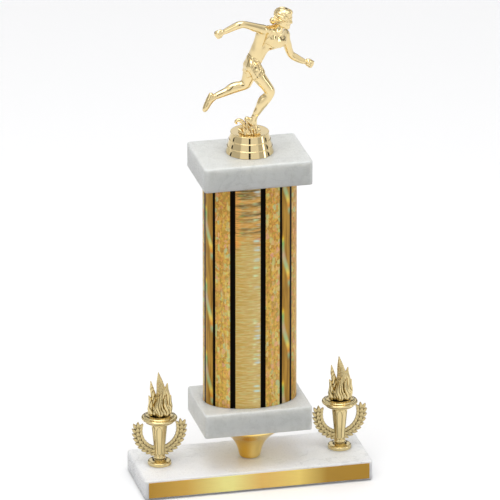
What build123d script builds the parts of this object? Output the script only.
"""Column trophy: two small marble slabs and a foil-wrapped oval column stand on a flared riser and a long
marble base, with a runner on top and a torch with a wreath at each end of the base.

Row frame: millimetres, +Z up, the long side of the base along X, the name plate facing -Y.
The origin is under the middle of the base, on the surface that the trophy stands on.
"""

import os
from math import cos, pi, sin

from build123d import *

# ---------------------------------------------------------------- driving dimensions
PAD_THICKNESS, PAD_RADIUS = 1.2, 7.0
PAD_SPACING_X, PAD_SPACING_Y = 176.0, 48.0

BASE_LENGTH, BASE_DEPTH, BASE_THICKNESS = 204.6, 74.0, 17.5
SLAB_LENGTH, SLAB_DEPTH, SLAB_THICKNESS = 96.2, 71.0, 22.0
MARBLE_CORNER_RADIUS = 3.0
MARBLE_TOP_ROUND, MARBLE_BOTTOM_ROUND = 1.5, 0.8
COUNTERBORE_DEPTH = 8.0

PLATE_LENGTH, PLATE_HEIGHT, PLATE_THICKNESS = 198.2, 14.4, 0.5
TAPE_THICKNESS, TAPE_INSET = 0.3, 1.0

RISER_HEIGHT = 34.0
COLUMN_HEIGHT = 208.0
COLUMN_HALF_WIDTH, COLUMN_HALF_DEPTH = 41.6, 28.0
FOIL_THICKNESS, TUBE_WALL = 0.25, 2.0
PLUG_THICKNESS, PLUG_CLEARANCE = 10.0, 0.2

ROD_RADIUS, ROD_HOLE_RADIUS = 3.175, 4.0
MAIN_NUT_ACROSS_FLATS, MAIN_NUT_HEIGHT = 11.1, 5.5
MAIN_WASHER_RADIUS, MAIN_WASHER_THICKNESS = 8.0, 1.2
THREAD_CLEARANCE = 0.03

TORCH_X = 81.2
TORCH_BOLT_RADIUS, TORCH_HOLE_RADIUS = 2.4, 3.0
TORCH_NUT_ACROSS_FLATS, TORCH_NUT_HEIGHT = 8.0, 3.0
TORCH_WASHER_RADIUS, TORCH_WASHER_THICKNESS = 5.5, 1.0
TORCH_HEAD_HEIGHT = 3.4

FIGURE_BASE_HEIGHT = 18.8
FIGURE_BASE_BOTTOM_RADIUS, FIGURE_BASE_TOP_RADIUS = 20.9, 16.4
FIGURE_BASE_WALL, FIGURE_BASE_BANDS = 1.6, 3
PEG_RADIUS, PEG_LENGTH = 1.2, 1.8

# ---------------------------------------------------------------- heights of the stack
base_bottom = PAD_THICKNESS
base_top = base_bottom + BASE_THICKNESS
lower_slab_bottom = base_top + RISER_HEIGHT
lower_slab_top = lower_slab_bottom + SLAB_THICKNESS
column_top = lower_slab_top + COLUMN_HEIGHT
upper_slab_top = column_top + SLAB_THICKNESS
figure_floor = upper_slab_top + FIGURE_BASE_HEIGHT
recess_ceiling = base_bottom + COUNTERBORE_DEPTH

os.makedirs("parts", exist_ok=True)


def save(name, part):
    """Labels a finished piece and writes it as one STEP file."""
    part.label = name
    export_step(part, f"parts/{name}.step")


def front_plane(x, z):
    """The plane that faces the front, with its origin at x and z in the middle of the depth."""
    return Plane(origin=(x, 0, z), x_dir=(1, 0, 0), z_dir=(0, -1, 0))


def round_cone(start, end, start_radius, end_radius):
    """A limb: a tapered rod with round ends between two points."""
    start, end = Vector(*start), Vector(*end)
    along = (end - start).normalized()
    side = along.cross(Vector(0.31, 0.87, 0.38)).normalized()
    length = (end - start).length
    lean_sin = (start_radius - end_radius) / length
    lean_cos = (1 - lean_sin**2) ** 0.5
    diagonal = sin(pi / 4)
    with BuildPart() as limb:
        with BuildSketch(Plane(origin=start, x_dir=along.cross(side), z_dir=side)):
            with BuildLine():
                lower = ThreePointArc(
                    (0, -start_radius),
                    (start_radius * diagonal, -start_radius * diagonal),
                    (start_radius * lean_cos, start_radius * lean_sin),
                )
                upper = ThreePointArc(
                    (end_radius * lean_cos, length + end_radius * lean_sin),
                    (end_radius * diagonal, length + end_radius * diagonal),
                    (0, length + end_radius),
                )
                Line(lower @ 1, upper @ 0)
                Line(upper @ 1, lower @ 0)
            make_face()
        revolve(axis=Axis(start, along))
    return limb.part


# ---------------------------------------------------------------- marble
def marble_slab(length, depth, thickness, bottom, bores=(), recesses=()):
    """A slab with rounded corners, a softened top edge and a narrow bottom edge.

    bores holds (x, radius) of through holes; recesses holds (x, radius) of counterbores in the underside.
    """
    with BuildPart() as slab:
        with BuildSketch(Plane.XY.offset(bottom)):
            RectangleRounded(length, depth, MARBLE_CORNER_RADIUS)
        extrude(amount=thickness)
        fillet(slab.faces().sort_by(Axis.Z)[-1].edges(), MARBLE_TOP_ROUND)
        fillet(slab.faces().sort_by(Axis.Z)[0].edges(), MARBLE_BOTTOM_ROUND)
        for x, radius in bores:
            with BuildSketch(Plane.XY.offset(bottom)):
                with Locations((x, 0)):
                    Circle(radius)
            extrude(amount=thickness, mode=Mode.SUBTRACT)
        for x, radius in recesses:
            with BuildSketch(Plane.XY.offset(bottom)):
                with Locations((x, 0)):
                    Circle(radius)
            extrude(amount=COUNTERBORE_DEPTH, mode=Mode.SUBTRACT)
    return slab.part


MAIN_RECESS_RADIUS, TORCH_RECESS_RADIUS = 10.0, 7.5
save(
    "base_slab",
    marble_slab(
        BASE_LENGTH,
        BASE_DEPTH,
        BASE_THICKNESS,
        base_bottom,
        bores=[(0, ROD_HOLE_RADIUS), (-TORCH_X, TORCH_HOLE_RADIUS), (TORCH_X, TORCH_HOLE_RADIUS)],
        recesses=[(0, MAIN_RECESS_RADIUS), (-TORCH_X, TORCH_RECESS_RADIUS), (TORCH_X, TORCH_RECESS_RADIUS)],
    ),
)
for slab_name, slab_bottom in (("lower_slab", lower_slab_bottom), ("upper_slab", column_top)):
    save(
        slab_name,
        marble_slab(SLAB_LENGTH, SLAB_DEPTH, SLAB_THICKNESS, slab_bottom, bores=[(0, ROD_HOLE_RADIUS)]),
    )

# ---------------------------------------------------------------- felt pads under the base
with BuildPart() as base_pads:
    with BuildSketch():
        with GridLocations(PAD_SPACING_X, PAD_SPACING_Y, 2, 2):
            Circle(PAD_RADIUS)
    extrude(amount=PAD_THICKNESS)
save("base_pads", base_pads.part)

# ---------------------------------------------------------------- name plate on its adhesive tape
plate_middle = base_bottom + (BASE_THICKNESS + MARBLE_BOTTOM_ROUND - MARBLE_TOP_ROUND) / 2
tape_back = -BASE_DEPTH / 2
plate_back = tape_back - TAPE_THICKNESS

with BuildPart() as plate_tape:
    with BuildSketch(Plane.XZ.offset(-tape_back)):
        with Locations((0, plate_middle)):
            Rectangle(PLATE_LENGTH - 2 * TAPE_INSET, PLATE_HEIGHT - 2 * TAPE_INSET)
    extrude(amount=TAPE_THICKNESS)
save("plate_tape", plate_tape.part)

with BuildPart() as name_plate:
    with BuildSketch(Plane.XZ.offset(-plate_back)):
        with Locations((0, plate_middle)):
            Rectangle(PLATE_LENGTH, PLATE_HEIGHT)
    extrude(amount=PLATE_THICKNESS)
    chamfer(name_plate.faces().sort_by(Axis.Y)[0].edges(), 0.15)
save("name_plate", name_plate.part)

# ---------------------------------------------------------------- flared riser, a thin spun shell
RISER_WALL = 1.2
RISER_FOOT_RADIUS, RISER_FOOT_ROUND = 9.0, 1.6
RISER_WAIST_HEIGHT, RISER_WAIST_RADIUS = 5.0, 10.2
RISER_FLARE_RADIUS = 30.0
FLARE_START, FLARE_END = 11 * pi / 180, 54 * pi / 180
RISER_LIP_RADIUS, RISER_LIP_HEIGHT = 31.5, 3.0


def flare_point(angle, arc_radius):
    """A point of the trumpet's arc, where its tangent leans out by angle from the vertical."""
    return (
        RISER_WAIST_RADIUS + RISER_FLARE_RADIUS * cos(FLARE_START) - arc_radius * cos(angle),
        RISER_WAIST_HEIGHT - RISER_FLARE_RADIUS * sin(FLARE_START) + arc_radius * sin(angle),
    )


def riser_solid(wall):
    """The riser's outline, moved inwards by wall and turned about the stack's axis."""
    arc_radius = RISER_FLARE_RADIUS + wall
    middle = (FLARE_START + FLARE_END) / 2
    with BuildPart() as solid:
        with BuildSketch(front_plane(0, base_top)):
            with BuildLine():
                foot = Line((0, wall), (RISER_FOOT_RADIUS - RISER_FOOT_ROUND, wall))
                corner = Line(foot @ 1, (RISER_FOOT_RADIUS - wall, RISER_FOOT_ROUND))
                waist = Line(corner @ 1, flare_point(FLARE_START, arc_radius))
                flare = ThreePointArc(
                    waist @ 1, flare_point(middle, arc_radius), flare_point(FLARE_END, arc_radius)
                )
                lip_bottom = RISER_HEIGHT - RISER_LIP_HEIGHT + wall / 2
                shoulder = Line(flare @ 1, (RISER_LIP_RADIUS - wall, lip_bottom))
                lip = Line(shoulder @ 1, (RISER_LIP_RADIUS - wall, RISER_HEIGHT))
                mouth = Line(lip @ 1, (0, RISER_HEIGHT))
                Line(mouth @ 1, foot @ 0)
            make_face()
        revolve(axis=Axis.Z)
    return solid.part


riser_outside = riser_solid(0)
riser_inside = riser_solid(RISER_WALL)
with BuildPart() as riser:
    add(riser_outside)
    add(riser_inside, mode=Mode.SUBTRACT)
    with BuildSketch(Plane.XY.offset(base_top)):
        Circle(ROD_HOLE_RADIUS)
    extrude(amount=RISER_WALL * 2, mode=Mode.SUBTRACT)
save("riser", riser.part)

# ---------------------------------------------------------------- oval column
tube_half_width = COLUMN_HALF_WIDTH - FOIL_THICKNESS
tube_half_depth = COLUMN_HALF_DEPTH - FOIL_THICKNESS

with BuildPart() as column_tube:
    with BuildSketch(Plane.XY.offset(lower_slab_top)):
        Ellipse(tube_half_width, tube_half_depth)
        Ellipse(tube_half_width - TUBE_WALL, tube_half_depth - TUBE_WALL, mode=Mode.SUBTRACT)
    extrude(amount=COLUMN_HEIGHT)
save("column_tube", column_tube.part)

with BuildPart() as column_foil:
    with BuildSketch(Plane.XY.offset(lower_slab_top)):
        Ellipse(COLUMN_HALF_WIDTH, COLUMN_HALF_DEPTH)
        Ellipse(tube_half_width, tube_half_depth, mode=Mode.SUBTRACT)
    extrude(amount=COLUMN_HEIGHT)
save("column_foil", column_foil.part)

plug_inset = TUBE_WALL + PLUG_CLEARANCE
for plug_name, plug_bottom in (
    ("column_bottom_plug", lower_slab_top),
    ("column_top_plug", column_top - PLUG_THICKNESS),
):
    with BuildPart() as plug:
        with BuildSketch(Plane.XY.offset(plug_bottom)):
            Ellipse(tube_half_width - plug_inset, tube_half_depth - plug_inset)
            Circle(ROD_HOLE_RADIUS, mode=Mode.SUBTRACT)
        extrude(amount=PLUG_THICKNESS)
    save(plug_name, plug.part)

# ---------------------------------------------------------------- rod, nuts and washer of the stack
main_washer_bottom = recess_ceiling - MAIN_WASHER_THICKNESS
main_nut_bottom = main_washer_bottom - MAIN_NUT_HEIGHT
figure_nut_bottom = upper_slab_top + 1.0
rod_bottom = main_nut_bottom - 0.8
rod_top = figure_nut_bottom + MAIN_NUT_HEIGHT + 4.0


def hexagon_radius(across_flats):
    """The corner radius of a hexagon."""
    return across_flats / 2 / cos(pi / 6)


def hex_nut(across_flats, height, bore_radius, x, bottom):
    """A hex nut with a plain bore that clears the thread."""
    with BuildPart() as nut:
        with BuildSketch(Plane.XY.offset(bottom)):
            with Locations((x, 0)):
                RegularPolygon(hexagon_radius(across_flats), 6)
        extrude(amount=height)
        with BuildSketch(Plane.XY.offset(bottom)):
            with Locations((x, 0)):
                Circle(bore_radius)
        extrude(amount=height, mode=Mode.SUBTRACT)
    return nut.part


def flat_washer(radius, thickness, bore_radius, x, bottom):
    """A plain round washer."""
    with BuildPart() as washer:
        with BuildSketch(Plane.XY.offset(bottom)):
            with Locations((x, 0)):
                Circle(radius)
                Circle(bore_radius, mode=Mode.SUBTRACT)
        extrude(amount=thickness)
    return washer.part


with BuildPart() as main_rod:
    with BuildSketch(Plane.XY.offset(rod_bottom)):
        Circle(ROD_RADIUS)
    extrude(amount=rod_top - rod_bottom)
    chamfer(main_rod.edges().filter_by(GeomType.CIRCLE), 0.6)
save("main_rod", main_rod.part)

main_bore = ROD_RADIUS + THREAD_CLEARANCE
save("main_nut", hex_nut(MAIN_NUT_ACROSS_FLATS, MAIN_NUT_HEIGHT, main_bore, 0, main_nut_bottom))
save("figure_nut", hex_nut(MAIN_NUT_ACROSS_FLATS, MAIN_NUT_HEIGHT, main_bore, 0, figure_nut_bottom))
save(
    "main_washer",
    flat_washer(MAIN_WASHER_RADIUS, MAIN_WASHER_THICKNESS, ROD_RADIUS + 0.3, 0, main_washer_bottom),
)

# ---------------------------------------------------------------- stepped round base of the figure
BAND_LIP, BAND_LIP_HEIGHT = 0.45, 0.7
BOSS_RADIUS, POCKET_CLEARANCE = 8.0, 0.1
PEG_PLACES = [(1.0, -7.0), (-5.0, -1.0)]

band_height = FIGURE_BASE_HEIGHT / FIGURE_BASE_BANDS
band_taper = (FIGURE_BASE_BOTTOM_RADIUS - FIGURE_BASE_TOP_RADIUS) / FIGURE_BASE_BANDS

with BuildPart() as figure_base:
    with BuildSketch(Plane.XZ):
        with BuildLine():
            outline = [(0, upper_slab_top)]
            for band in range(FIGURE_BASE_BANDS):
                bottom_radius = FIGURE_BASE_BOTTOM_RADIUS - band * band_taper
                low = upper_slab_top + band * band_height
                high = low + band_height
                outline += [
                    (bottom_radius, low),
                    (bottom_radius - band_taper, high - BAND_LIP_HEIGHT),
                    (bottom_radius - band_taper + BAND_LIP, high - BAND_LIP_HEIGHT),
                    (bottom_radius - band_taper + BAND_LIP, high),
                ]
            outline += [(0, figure_floor)]
            Polyline(*outline, close=True)
        make_face()
    revolve(axis=Axis.Z)
    with BuildSketch(Plane.XZ):
        with BuildLine():
            inner_bottom = FIGURE_BASE_BOTTOM_RADIUS - FIGURE_BASE_WALL
            inner_top = FIGURE_BASE_TOP_RADIUS - FIGURE_BASE_WALL
            Polyline(
                (BOSS_RADIUS, upper_slab_top),
                (inner_bottom, upper_slab_top),
                (inner_top, figure_floor - FIGURE_BASE_WALL),
                (BOSS_RADIUS, figure_floor - FIGURE_BASE_WALL),
                close=True,
            )
        make_face()
    revolve(axis=Axis.Z, mode=Mode.SUBTRACT)
    with BuildSketch(Plane.XY.offset(upper_slab_top)):
        RegularPolygon(hexagon_radius(MAIN_NUT_ACROSS_FLATS + 2 * POCKET_CLEARANCE), 6)
    extrude(amount=figure_nut_bottom + MAIN_NUT_HEIGHT - upper_slab_top, mode=Mode.SUBTRACT)
    with BuildSketch(Plane.XY.offset(upper_slab_top)):
        Circle(ROD_HOLE_RADIUS - 0.3)
    extrude(amount=rod_top + 1.0 - upper_slab_top, mode=Mode.SUBTRACT)
    with BuildSketch(Plane.XY.offset(figure_floor)):
        with Locations(*PEG_PLACES):
            Circle(PEG_RADIUS + 0.1)
    extrude(amount=-PEG_LENGTH, mode=Mode.SUBTRACT)
save("figure_base", figure_base.part)

# ---------------------------------------------------------------- the runner, one solid moulding
# Body points are measured from the middle of the figure base's top face.
RUNNER = {
    "crown": (31.0, -0.5, 104.6),
    "jaw": (33.0, -1.5, 98.6),
    "bun": (21.4, 2.0, 99.2),
    "neck": (24.0, 1.5, 90.5),
    "near_shoulder": (11.5, -8.5, 95.2),
    "near_elbow": (-10.0, -12.5, 104.4),
    "near_wrist": (-23.5, -10.0, 97.6),
    "near_fist": (-30.6, -9.0, 94.4),
    "far_shoulder": (31.5, 8.5, 84.5),
    "far_elbow": (39.0, 12.5, 63.8),
    "far_wrist": (49.0, 9.0, 57.6),
    "far_fist": (55.0, 7.5, 55.0),
    "chest": (19.5, -1.0, 84.5),
    "waist": (8.8, 0.0, 72.0),
    "pelvis": (2.5, 0.0, 62.0),
    "near_hip": (3.0, -4.5, 59.5),
    "near_knee": (16.2, -7.0, 37.2),
    "near_ankle": (3.8, -4.5, 16.0),
    "near_heel": (-3.2, -4.0, 11.6),
    "near_toe": (7.0, -5.0, 2.6),
    "far_hip": (2.0, 4.5, 60.0),
    "far_knee": (-1.8, 6.5, 42.0),
    "far_ankle": (-31.0, 6.5, 32.0),
    "far_heel": (-33.5, 6.5, 35.0),
    "far_toe": (-39.5, 5.0, 20.6),
    "leaf_root": (-2.0, -3.0, 2.0),
    "leaf_curl": (-11.0, -1.0, 11.5),
}
LIMBS = [
    ("crown", "jaw", 7.7, 5.0),
    ("crown", "bun", 7.6, 3.9),
    ("jaw", "neck", 4.4, 4.6),
    ("neck", "chest", 5.2, 10.4),
    ("near_shoulder", "chest", 5.0, 9.4),
    ("far_shoulder", "chest", 4.8, 9.0),
    ("chest", "waist", 9.8, 7.0),
    ("waist", "pelvis", 6.8, 8.2),
    ("near_shoulder", "near_elbow", 4.4, 3.3),
    ("near_elbow", "near_wrist", 3.2, 2.1),
    ("near_wrist", "near_fist", 2.3, 3.4),
    ("far_shoulder", "far_elbow", 4.2, 3.1),
    ("far_elbow", "far_wrist", 3.0, 2.2),
    ("far_wrist", "far_fist", 2.4, 3.6),
    ("near_hip", "near_knee", 7.4, 4.4),
    ("near_knee", "near_ankle", 4.3, 2.5),
    ("near_ankle", "near_toe", 3.4, 2.3),
    ("near_ankle", "near_heel", 3.2, 2.2),
    ("far_hip", "far_knee", 7.2, 4.5),
    ("far_knee", "far_ankle", 4.4, 2.3),
    ("far_ankle", "far_toe", 2.6, 1.7),
    ("far_ankle", "far_heel", 2.5, 1.8),
    ("near_heel", "leaf_root", 2.4, 3.2),
    ("leaf_root", "leaf_curl", 3.4, 1.6),
]
MOUND_RADIUS, MOUND_HEIGHT = 10.5, 3.0

runner_limbs = []
for start_name, end_name, start_radius, end_radius in LIMBS:
    lifted = [(x, y, z + figure_floor) for x, y, z in (RUNNER[start_name], RUNNER[end_name])]
    runner_limbs.append(round_cone(*lifted, start_radius, end_radius))

with BuildPart() as runner:
    for limb in runner_limbs:
        add(limb)
    with Locations((-1.0, -3.0, figure_floor + MOUND_HEIGHT / 2)):
        Cone(MOUND_RADIUS, MOUND_RADIUS * 0.6, MOUND_HEIGHT)
    split(bisect_by=Plane.XY.offset(figure_floor), keep=Keep.TOP)
    with BuildSketch(Plane.XY.offset(figure_floor - PEG_LENGTH)):
        with Locations(*PEG_PLACES):
            Circle(PEG_RADIUS)
    extrude(amount=PEG_LENGTH + 1.0)
save("runner", runner.part)

# ---------------------------------------------------------------- torches with wreaths
# Heights are measured from the top of the base slab.
TORCH_FOOT_RADIUS, TORCH_FOOT_HEIGHT = 10.4, 4.2
STEM_BOTTOM, STEM_TOP = 8.6, 37.4
STEM_BOTTOM_HALF, STEM_TOP_HALF = 4.5, 7.2
DISH_TOP = 44.8
SOCKET_RADIUS, SOCKET_DEPTH = 5.0, 3.0
FLAME_BOTTOM = 46.6
FLAME_TONGUES = [
    ((0.0, 0.0, 55.0), (-0.6, 0.0, 86.0), 8.6, 0.8),
    ((-4.0, -1.0, 54.0), (-7.4, 0.0, 77.5), 5.4, 0.8),
    ((4.6, 0.0, 54.0), (7.1, 0.0, 73.6), 5.0, 0.8),
    ((-6.6, -1.5, 52.5), (-10.0, -2.0, 66.0), 3.4, 0.7),
    ((0.5, -5.0, 52.5), (2.0, -5.5, 67.0), 4.4, 0.8),
    ((-0.5, 5.0, 52.5), (-2.0, 5.5, 68.0), 4.4, 0.8),
    ((6.4, -2.5, 52.0), (9.0, -3.5, 61.0), 3.2, 0.7),
]
WREATH_CENTRE_HEIGHT, WREATH_RADIUS_X, WREATH_RADIUS_Z = 32.3, 19.6, 20.0
WREATH_HALF_WIDTH, WREATH_HALF_THICKNESS = 3.4, 1.3
WREATH_LOW_ANGLE, WREATH_HIGH_ANGLE = -66, 26


def torch_body(x):
    """Foot, ringed neck, eight-sided stem and dish, moulded in one piece and hollow under the foot."""
    with BuildPart() as body:
        with BuildSketch(front_plane(x, base_top)):
            with BuildLine():
                edge = Line((0, 0), (TORCH_FOOT_RADIUS, 0))
                side = Line(edge @ 1, (TORCH_FOOT_RADIUS, 1.2))
                dome = SagittaArc(side @ 1, (5.6, TORCH_FOOT_HEIGHT), 0.9)
                Polyline(
                    dome @ 1,
                    (4.4, 4.7),
                    (4.4, 5.4),
                    (5.3, 6.0),
                    (5.3, 7.4),
                    (4.8, STEM_BOTTOM),
                    (0, STEM_BOTTOM),
                    edge @ 0,
                )
            make_face()
        revolve(axis=Axis((x, 0, 0), (0, 0, 1)))
        for height, half in ((STEM_BOTTOM, STEM_BOTTOM_HALF), (STEM_TOP, STEM_TOP_HALF)):
            with BuildSketch(Plane.XY.offset(base_top + height)):
                with Locations((x, 0)):
                    RegularPolygon(half, 8, major_radius=False, rotation=22.5)
        loft()
        with BuildSketch(front_plane(x, base_top)):
            with BuildLine():
                Polyline(
                    (0, STEM_TOP),
                    (7.6, STEM_TOP),
                    (8.4, 38.6),
                    (11.5, 40.2),
                    (13.2, 40.6),
                    (15.4, 42.6),
                    (15.9, 43.6),
                    (15.4, 44.6),
                    (14.2, DISH_TOP),
                    (0, DISH_TOP),
                    close=True,
                )
            make_face()
        revolve(axis=Axis((x, 0, 0), (0, 0, 1)))
        with BuildSketch(Plane.XY.offset(base_top + DISH_TOP)):
            with Locations((x, 0)):
                Circle(SOCKET_RADIUS)
        extrude(amount=-SOCKET_DEPTH, mode=Mode.SUBTRACT)
        with BuildSketch(Plane.XY.offset(base_top)):
            with Locations((x, 0)):
                RegularPolygon(hexagon_radius(TORCH_NUT_ACROSS_FLATS + 0.2), 6)
        extrude(amount=TORCH_NUT_HEIGHT + 0.2, mode=Mode.SUBTRACT)
        with BuildSketch(Plane.XY.offset(base_top)):
            with Locations((x, 0)):
                Circle(TORCH_BOLT_RADIUS + 0.2)
        extrude(amount=STEM_BOTTOM, mode=Mode.SUBTRACT)
    return body.part


def torch_flame(x):
    """Flame tongues that grow out of one round foot, with a plug that sits in the dish."""
    tongues = []
    for root, tip, root_radius, tip_radius in FLAME_TONGUES:
        moved = [(px + x, py, pz + base_top) for px, py, pz in (root, tip)]
        tongues.append(round_cone(*moved, root_radius, tip_radius))
    with BuildPart() as flame:
        for tongue in tongues:
            add(tongue)
        split(bisect_by=Plane.XY.offset(base_top + FLAME_BOTTOM), keep=Keep.TOP)
        with BuildSketch(Plane.XY.offset(base_top + DISH_TOP)):
            with Locations((x, 0)):
                Circle(7.4)
        extrude(amount=FLAME_BOTTOM + 2.0 - DISH_TOP)
        with BuildSketch(Plane.XY.offset(base_top + DISH_TOP)):
            with Locations((x, 0)):
                Circle(SOCKET_RADIUS - 0.1)
        extrude(amount=0.2 - SOCKET_DEPTH)
    return flame.part


def wreath_point(angle):
    """A point of the branch's centreline, an ellipse about the stem; angle 0 points sideways."""
    radians = angle * pi / 180
    return (
        WREATH_RADIUS_X * cos(radians),
        base_top + WREATH_CENTRE_HEIGHT + WREATH_RADIUS_Z * sin(radians),
    )


def torch_wreath(x, body):
    """Two laurel branches that curve up from the stem, one each side, cut to fit the stem's faces."""
    with BuildPart() as wreath:
        with BuildLine(front_plane(x, 0)) as route:
            ThreePointArc(
                wreath_point(WREATH_LOW_ANGLE - 14),
                wreath_point((WREATH_LOW_ANGLE + WREATH_HIGH_ANGLE) / 2),
                wreath_point(WREATH_HIGH_ANGLE),
            )
        with BuildSketch(Plane(origin=route.line @ 0, z_dir=route.line % 0, x_dir=(0, 1, 0))):
            Ellipse(WREATH_HALF_THICKNESS, WREATH_HALF_WIDTH)
        sweep()
        mirror(about=Plane.YZ.offset(x))
        add(body, mode=Mode.SUBTRACT)
    return wreath.part


def torch_bolt(x, washer_bottom):
    """A hex-head bolt, pushed up through the base slab into the nut in the torch's foot."""
    with BuildPart() as bolt:
        with BuildSketch(Plane.XY.offset(washer_bottom - TORCH_HEAD_HEIGHT)):
            with Locations((x, 0)):
                RegularPolygon(hexagon_radius(TORCH_NUT_ACROSS_FLATS), 6)
        extrude(amount=TORCH_HEAD_HEIGHT)
        with BuildSketch(Plane.XY.offset(washer_bottom)):
            with Locations((x, 0)):
                Circle(TORCH_BOLT_RADIUS)
        extrude(amount=base_top + STEM_BOTTOM - 2.0 - washer_bottom)
        chamfer(bolt.faces().sort_by(Axis.Z)[-1].edges(), 0.4)
    return bolt.part


for side_name, side_x in (("left", -TORCH_X), ("right", TORCH_X)):
    torch_washer_bottom = recess_ceiling - TORCH_WASHER_THICKNESS
    torch = torch_body(side_x)
    save(f"{side_name}_torch_body", torch)
    save(f"{side_name}_torch_flame", torch_flame(side_x))
    save(f"{side_name}_torch_wreath", torch_wreath(side_x, torch))
    save(f"{side_name}_torch_bolt", torch_bolt(side_x, torch_washer_bottom))
    save(
        f"{side_name}_torch_nut",
        hex_nut(
            TORCH_NUT_ACROSS_FLATS,
            TORCH_NUT_HEIGHT,
            TORCH_BOLT_RADIUS + THREAD_CLEARANCE,
            side_x,
            base_top + 0.1,
        ),
    )
    save(
        f"{side_name}_torch_washer",
        flat_washer(
            TORCH_WASHER_RADIUS,
            TORCH_WASHER_THICKNESS,
            TORCH_BOLT_RADIUS + 0.2,
            side_x,
            torch_washer_bottom,
        ),
    )
